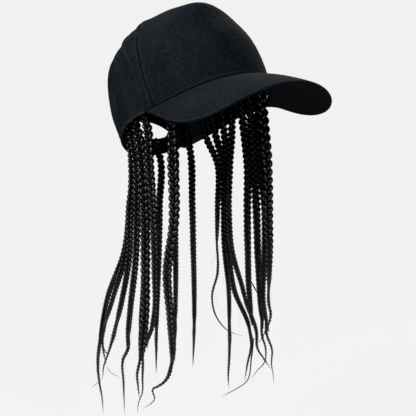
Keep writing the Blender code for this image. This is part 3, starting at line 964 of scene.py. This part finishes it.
def route_through(points, count):
    """Read a smooth curve through unevenly spaced points."""
    spans = [(b - a).length for a, b in zip(points, points[1:])]
    slopes = [(b - a) / span for a, b, span in zip(points, points[1:], spans)]
    tangents = [slopes[0]]
    for index in range(1, len(spans)):
        left, right = spans[index - 1], spans[index]
        tangents.append((slopes[index] * left + slopes[index - 1] * right) / (left + right))
    tangents.append(slopes[-1])
    total = sum(spans)
    route = []
    for step in range(count):
        along = total * step / (count - 1)
        index = 0
        while index < len(spans) - 1 and along > spans[index]:
            along -= spans[index]
            index += 1
        t = min(along / spans[index], 1.0)
        start, end = points[index], points[index + 1]
        leave, arrive = tangents[index] * spans[index], tangents[index + 1] * spans[index]
        curve = start * (2 * t**3 - 3 * t**2 + 1) + leave * (t**3 - 2 * t**2 + t)
        route.append(curve + end * (3 * t**2 - 2 * t**3) + arrive * (t**3 - t**2))
    return route


def braid_points(row):
    """The root on the band, the way out under the rim, then the hanging stretch."""
    angle = radians(row.angle)
    radius = 0.5 * row.top_width * MM
    inside = WALL + BAND_GAP + BAND_WALL + GAP + radius
    bend_rise = BRAID_BEND_RISE_SHARE * BRAID_ROOT_RISE
    points = [
        inside_point(angle, BRAID_ROOT_RISE, inside),
        inside_point(angle, bend_rise, inside + BRAID_BEND_ROOM_SHARE * BRAID_BEND_ROOM),
        inside_point(angle, 0.0, inside + BRAID_BEND_ROOM),
    ]
    start = points[-1]
    heights = [*DRIFT_HEIGHTS, row.tail_end]
    drifts = [*row.drifts, row.tail_drift]
    for height, drift in zip(heights, drifts):
        if row.tail_end <= height <= start.z / MM - BRAID_FREE_DROP:
            place = start + SWEEP * drift * MM + AWAY * row.away * MM
            points.append(Vector((place.x, place.y, height * MM)))
    return points


def braid_radius(row, height, top):
    """Half the braid's width at a height."""
    end = row.plait_end * MM
    if height > end:
        part = (top - height) / (top - end)
        return 0.5 * MM * (row.top_width + (row.end_width - row.top_width) * part**row.fullness)
    part = min((end - height) / max(end - row.tail_end * MM, MM), 1.0)
    start = 0.5 * row.end_width * MM
    return TAIL_TIP_RADIUS + (start - TAIL_TIP_RADIUS) * (1 - part) ** TAIL_FULLNESS


def plait_tubes(row, number, route):
    """Three strands woven round a core of hair, down to where the plait ends."""
    length = length_along(route)
    widths = np.array([2 * braid_radius(row, place[2], route[0][2]) for place in route])
    last = np.argmax(route[:, 2] < (row.plait_end - PLAIT_RUN_ON) * MM)
    widths = widths * (1 + PLAIT_FULLNESS * np.clip(length / length[last], 0.0, 1.0))
    middle = 0.5 * (widths[1:] + widths[:-1])
    turns = summed(np.diff(length) / np.maximum(middle * PLAIT_CYCLE, PLAIT_LEAST_CYCLE))
    closing = np.clip((length[last] - length) / PLAIT_CLOSING, 0.0, 1.0)
    widths = widths * (PLAIT_CLOSED + (1 - PLAIT_CLOSED) * closing**PLAIT_CLOSING_BEND)
    total = turns[last]
    phases = np.linspace(0.0, total, int(total * STEPS_A_CYCLE) + 1)
    along = np.interp(phases, turns, length)
    centre = read_along(route, length, along)
    width = np.interp(along, length, widths)
    facing = 2 * pi * along / PLAIT_TWIST_LENGTH + PLAIT_TWIST_OFFSET * number
    facing = PLAIT_TWIST * np.sin(facing)
    wanted = np.outer(np.cos(facing), SWEEP) + np.outer(np.sin(facing), AWAY)
    across, over = square_to(centre, wanted)
    taper = np.minimum(1.0, (total - phases) * STRAND_TAPER + STRAND_TIP)
    tubes = []
    for strand in range(3):
        theta = 2 * pi * (phases + strand / 3 + PLAIT_CYCLE_OFFSET * number)
        out = width * PLAIT_REACH * (np.sin(theta) - PLAIT_POINTING * np.sin(3 * theta))
        up = -width * PLAIT_DEPTH * np.sin(2 * theta)
        line = centre + across * out[:, None] + over * up[:, None]
        thick = width * STRAND_RADIUS * (1 - STRAND_SWELL * np.cos(2 * theta))
        tubes.append((line, thick * taper, AWAY))
    tubes.append((centre, width * CORE_RADIUS, AWAY))
    return tubes


def place_at(spot, carrier):
    """The place seen at a spot of the photographed view, as far away as the carrier."""
    right, up = spot[0] - PICTURE / 2, PICTURE / 2 - spot[1]
    ray = AHEAD * (LENS / SENSOR * PICTURE) + SWEEP * right + UPWARD * up
    return EYE + ray * ((carrier - EYE).dot(AWAY) / ray.dot(AWAY))


def lock_tubes(line, widths, number):
    """A tapering lock whose few strands wind slowly round each other and end one by one."""
    line = np.asarray(line, float)
    share = np.linspace(0.0, 1.0, len(line))
    width = np.interp(share, np.linspace(0.0, 1.0, len(widths)), widths) * MM
    length = length_along(line)
    across, over = square_to(line, SWEEP)
    freed = np.minimum(share / LOCK_ROOT_SHARE, 1.0)
    width = width * (LOCK_ROOT_FULLNESS + (LOCK_FULLNESS - LOCK_ROOT_FULLNESS) * freed)
    strands = 1 if max(widths) < LOCK_SINGLE_WIDTH else 3
    middle = 0.5 * (width[1:] + width[:-1])
    winding = summed(np.diff(length) / (LOCK_TWIST * middle + LOCK_LEAST_TWIST))
    if strands > 1:
        width = width * (1 + LOCK_BEADING * freed * np.cos(2 * pi * length / LOCK_BEAD))
    whole = np.maximum(0.5 * width / (1 + LOCK_CROWDING * (strands - 1)), HAIR_LEAST_RADIUS)
    offset = np.maximum(0.5 * width - whole, 0.0)[:, None]
    tubes = []
    for strand in range(strands):
        turn = 2 * pi * (strand / strands + winding) + number
        path = line + offset * (np.cos(turn)[:, None] * across + np.sin(turn)[:, None] * over)
        end = 1.0 - LOCK_STAGGER * strand
        thick = whole * np.clip((end - share) / LOCK_TIP, LOCK_LEAST_TIP, 1.0) ** 0.5
        kept = share <= end
        tubes.append((path[kept], thick[kept], AWAY))
    return tubes


def loose_ends(row, number, route):
    """The unplaited ends of one braid."""
    route = [Vector(place) for place in route]

    def below(overlap):
        return [place for place in route if place.z < (row.plait_end + overlap) * MM]

    tubes = []
    locks = [lock for lock in LOCKS if lock.braid == number]
    for lock in locks:
        points = [place_at(spot, below(0)[0]) for spot in lock.spots]
        if lock.overlap is not None:
            points.insert(0, below(lock.overlap)[0])
        length = sum((b - a).length for a, b in zip(points, points[1:]))
        line = route_through(points, max(LOCK_LEAST_POINTS, int(length / LOCK_STEP)))
        tubes += lock_tubes(line, lock.widths, number)
    if not locks:
        line = route_through(below(UNSEEN_OVERLAP)[::8], UNSEEN_POINTS)
        tubes += lock_tubes(line, UNSEEN_LOCK, number)
    return tubes


def flyaways(row, number, route):
    """Single hairs that have worked loose from the plait."""
    dice = np.random.RandomState(100 + number)
    hanging = [place for place in route if place[2] < FLYAWAY_TOP * MM]
    shares = evenly(0.0, 1.0, FLYAWAY_POINTS - 1)
    radii = FLYAWAY_RADIUS * (1 - FLYAWAY_TAPER * np.array(shares))
    tubes = []
    for _ in range(FLYAWAYS):
        place = Vector(hanging[dice.randint(len(hanging) * 3 // 4)])
        side = dice.uniform(-1.0, 1.0, 2)
        out = SWEEP * side[0] + AWAY * side[1]
        out.normalize()
        reach, fall = (dice.uniform(*span) * MM for span in (FLYAWAY_REACH, FLYAWAY_FALL))
        curl = SWEEP * dice.uniform(*FLYAWAY_CURL) * MM
        spread = FLYAWAY_ROOT * braid_radius(row, place.z, route[0][2])
        line = []
        for share in shares:
            away = out * (spread + reach * sin(0.5 * pi * share)) + curl * sin(pi * share)
            line.append(place + away - UP * (fall * share**FLYAWAY_FALL_POWER))
        tubes.append((line, radii, out.cross(UP) + AWAY * 0.01))
    return tubes


def build_braid(row, number, material):
    name = f"braid_{number:02d}"
    route = np.array(route_through(braid_points(row), ROUTE_POINTS))
    parts = (("plait", plait_tubes, 10), ("ends", loose_ends, 8), ("flyaways", flyaways, 5))
    for part, tubes_of, sides in parts:
        mesh = tubes_mesh(f"{name}_{part}", tubes_of(row, number, route), sides)
        thing = finished(mesh, material)
        if part == "plait":
            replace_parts(thing, name)


# Sewing

def bind_edge(name, line, radius, material):
    """A narrow rolled binding along a line of points."""
    tubes = [(line, [radius] * len(line), (0.3, 0.2, 1.0))]
    finished(tubes_mesh(name, tubes, 14, "weave"), material)


def hem_line(start, end, steps):
    """A line just under the shell's lower edge."""
    drop = UP * HEM_ROLL_DROP
    return [WORN @ (crown_point(angle, 0.0, 0.5 * WALL) - drop)
            for angle in evenly(start, end, steps)]


def arch_line(steps):
    """The closing arch's edge on the crown's skin, each place found in a few rounds."""
    base = crown_skin(pi, 0.0)
    line = []
    for share in evenly(ARCH_ROLL_END_GAP, 1 - ARCH_ROLL_END_GAP, steps):
        side = ARCH_HALF_WIDTH * cos(pi * share)
        height = base.z + ARCH_HEIGHT * sin(pi * share)
        angle, rise = pi, 0.1
        for _ in range(30):
            step = (height - crown_skin(angle, rise).z) / SKIN_LENGTH
            rise = min(max(rise + step, 0.0), 0.9)
            half_width = through(CROWN, rise)[3] * MM
            angle = pi + asin(max(-1.0, min(1.0, side / half_width)))
        line.append(WORN @ crown_point(angle, rise, 0.5 * WALL))
    return line


def stitches(line, radius=STITCH_RADIUS):
    """Short raised stitches along a line of points."""
    line = np.asarray(line, float)
    length = length_along(line)
    made = []
    for start in np.arange(STITCH_START, length[-1] - STITCH_LENGTH, STITCH_PITCH):
        along = start + STITCH_LENGTH * np.linspace(0.0, 1.0, len(STITCH_SWELL))
        made.append((read_along(line, length, along), radius * np.array(STITCH_SWELL), UP))
    return made


def brim_row(inside, side, steps=240):
    """A line on the brim's face a fixed way in from its edge."""
    line = []
    for u in evenly(BRIM_ROW_END_GAP, 1 - BRIM_ROW_END_GAP, steps):
        reach = (brim_middle(u, 1.0) - brim_middle(u, 0.0)).length
        v = 1.0 - inside / max(reach, MM)
        if v > BRIM_UNDER_RIM + BRIM_ROW_ROOT_GAP:
            line.append(brim_face(u, v, side, inside, -BRIM_STITCH_SINK))
    return line


def seam_row(seam, way, steps=90):
    """A line beside a seam, one needle's width from it."""
    line = []
    for rise in evenly(*SEAM_ROW_RISES, steps):
        reach = crown_skin(pi / 2, rise).xy.length
        angle = way * (seam_angle(seam, rise) + SEAM_ROW_INSIDE / reach)
        depth = -STITCH_PROUD - cloth_wave(angle, rise)
        line.append(WORN @ crown_point(angle, rise, depth))
    return line


def build_sewing(twill, thread):
    end = pi - asin(ARCH_HALF_WIDTH / RIM_HALF_WIDTH) - HEM_ROLL_END_GAP
    for side, way in (("right", 1), ("left", -1)):
        line = hem_line(way * HEM_ROLL_START, way * end, 130)
        bind_edge(f"hem_binding_{side}", line, HEM_ROLL_RADIUS, twill)
    bind_edge("arch_binding", arch_line(110), ARCH_ROLL_RADIUS, twill)
    tubes = []
    for side in (1, -1):
        for inside in BRIM_ROWS:
            tubes += stitches(brim_row(inside * MM, side), BRIM_STITCH_RADIUS)
    for way in (1, -1):
        tubes += stitches(seam_row(BACK_SEAM, way))
        tubes += stitches([
            WORN @ crown_point(way * radians(angle), HEM_ROW_RISE, -STITCH_PROUD)
            for angle in HEM_ROW_DEGREES])
    depth = WALL + BAND_GAP + BAND_WALL + BAND_STITCH_PROUD
    for rise in BAND_ROW_RISES:
        tubes += stitches([inside_point(radians(angle), rise, depth) for angle in BAND_ROW_DEGREES])
    finished(tubes_mesh("stitching", tubes, 6), thread)


def build_button(material):
    """A cloth-covered button, gathered round its edge."""
    sides = BUTTON_GATHERS * 6
    apex = WORN @ crown_skin(0.0, 1.0)
    spots = range(len(BUTTON_RINGS))
    points, notes = [], []
    for place in evenly(0.0, len(BUTTON_RINGS) - 1, BUTTON_STEPS):
        reach, height, gathered = (between(spots, column, place) for column in zip(*BUTTON_RINGS))
        for turn in evenly(0.0, 2 * pi, sides)[:-1]:
            gather = (0.5 + 0.5 * cos(BUTTON_GATHERS * turn)) ** 2
            pull = BUTTON_GATHER_DEPTH * gathered * gather
            radius = reach * BUTTON_RADIUS - pull
            low = height * BUTTON_HEIGHT - BUTTON_GATHER_SINK * pull
            local = Vector((radius * cos(turn), radius * sin(turn), low))
            points.append(apex + WORN @ local)
            notes.append((local.x, local.y, BUTTON_RADIUS))
    mesh = mesh_of("button_cloth", points, closed_faces(BUTTON_STEPS + 1, sides), notes)
    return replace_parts(finished(mesh, material), "top_button")


# Stage

def make_camera():
    lens = bpy.data.cameras.new("camera")
    lens.sensor_width = SENSOR
    lens.lens = LENS
    lens.clip_start = 0.01
    camera = placed("camera", lens)
    aim(camera, EYE, AHEAD)
    bpy.context.scene.camera = camera


def aim(thing, place, ahead):
    """Set a camera or a lamp at a place, looking ahead."""
    thing.location = place
    thing.rotation_mode = "QUATERNION"
    thing.rotation_quaternion = ahead.to_track_quat("-Z", "Y")


def make_stage():
    """A round pale sweep that gives no light of its own to the cap, and soft lamps."""
    flat = PAPER_REACH - PAPER_BEND
    profile = [(PAPER_HOLE, PAPER_FLOOR)]
    for turn in evenly(0.0, 0.5 * pi, PAPER_BEND_STEPS):
        profile.append((flat + PAPER_BEND * sin(turn), PAPER_FLOOR + PAPER_BEND * (1 - cos(turn))))
    profile.append((PAPER_REACH, PAPER_TOP))
    turns = evenly(0.0, 2 * pi, PAPER_SIDES)[:-1]
    points = [(radius * cos(turn), radius * sin(turn), height)
              for radius, height in profile for turn in turns]
    grid = np.arange(len(points)).reshape(-1, PAPER_SIDES)
    mesh = bpy.data.meshes.new("pale_sweep")
    mesh.from_pydata(points, [], [*ring_faces(grid).tolist(), list(range(PAPER_SIDES))])
    mesh.shade_smooth()
    mesh.materials.append(stage_finish())
    sweep = placed("pale_sweep", mesh)
    sweep.visible_diffuse = False
    sweep.visible_glossy = False
    sweep.visible_shadow = False
    world = bpy.data.worlds.new("studio")
    bpy.context.scene.world = world
    world.use_nodes = True
    sky = world.node_tree.nodes["Background"]
    sky.inputs["Color"].default_value = (1.0, 1.0, 1.0, 1.0)
    sky.inputs["Strength"].default_value = SKY_LIGHT
    bpy.context.scene.view_settings.view_transform = "Standard"
    for row in SOFTBOXES:
        lamp = bpy.data.lights.new(row.name, "AREA")
        lamp.size, lamp.energy = row.width, row.power
        place = SWEEP * row.sideways + AWAY * row.away + UP * row.height
        aim(placed(row.name, lamp), place, UP * row.aim_height - place)


def build_cap():
    twill = twill_finish("crown_twill", TWILL_TONES)
    side = twill_finish("side_twill_painted_fold_highlights", TWILL_TONES, painted_fold_highlights=True)
    peak = twill_finish("brim_twill", TWILL_TONES, BRIM_MARKS)
    binding = twill_finish("binding_twill", BINDING_TONES, BRIM_MARKS)
    panels = [build_panel(row, side if row.node.startswith("side") else twill) for row in PANELS]
    cut_arch(panels[-2:])
    band_end = STRAP_ANGLE - BAND_END_GAP
    build_band("sweatband", (band_end, -band_end), (BAND_LOW_RISE, BAND_HIGH_RISE), 180, 10,
               tape_finish())
    build_band("back_strap", (2 * pi - STRAP_ANGLE, STRAP_ANGLE), (BAND_LOW_RISE, STRAP_RISE),
               60, 8, twill)
    build_brim(peak)
    build_button(twill)
    build_sewing(binding, thread_finish())


def main():
    make_camera()
    make_stage()
    build_cap()
    hair = hair_finish()
    for number, row in enumerate(BRAIDS, start=1):
        build_braid(row, number, hair)


main()
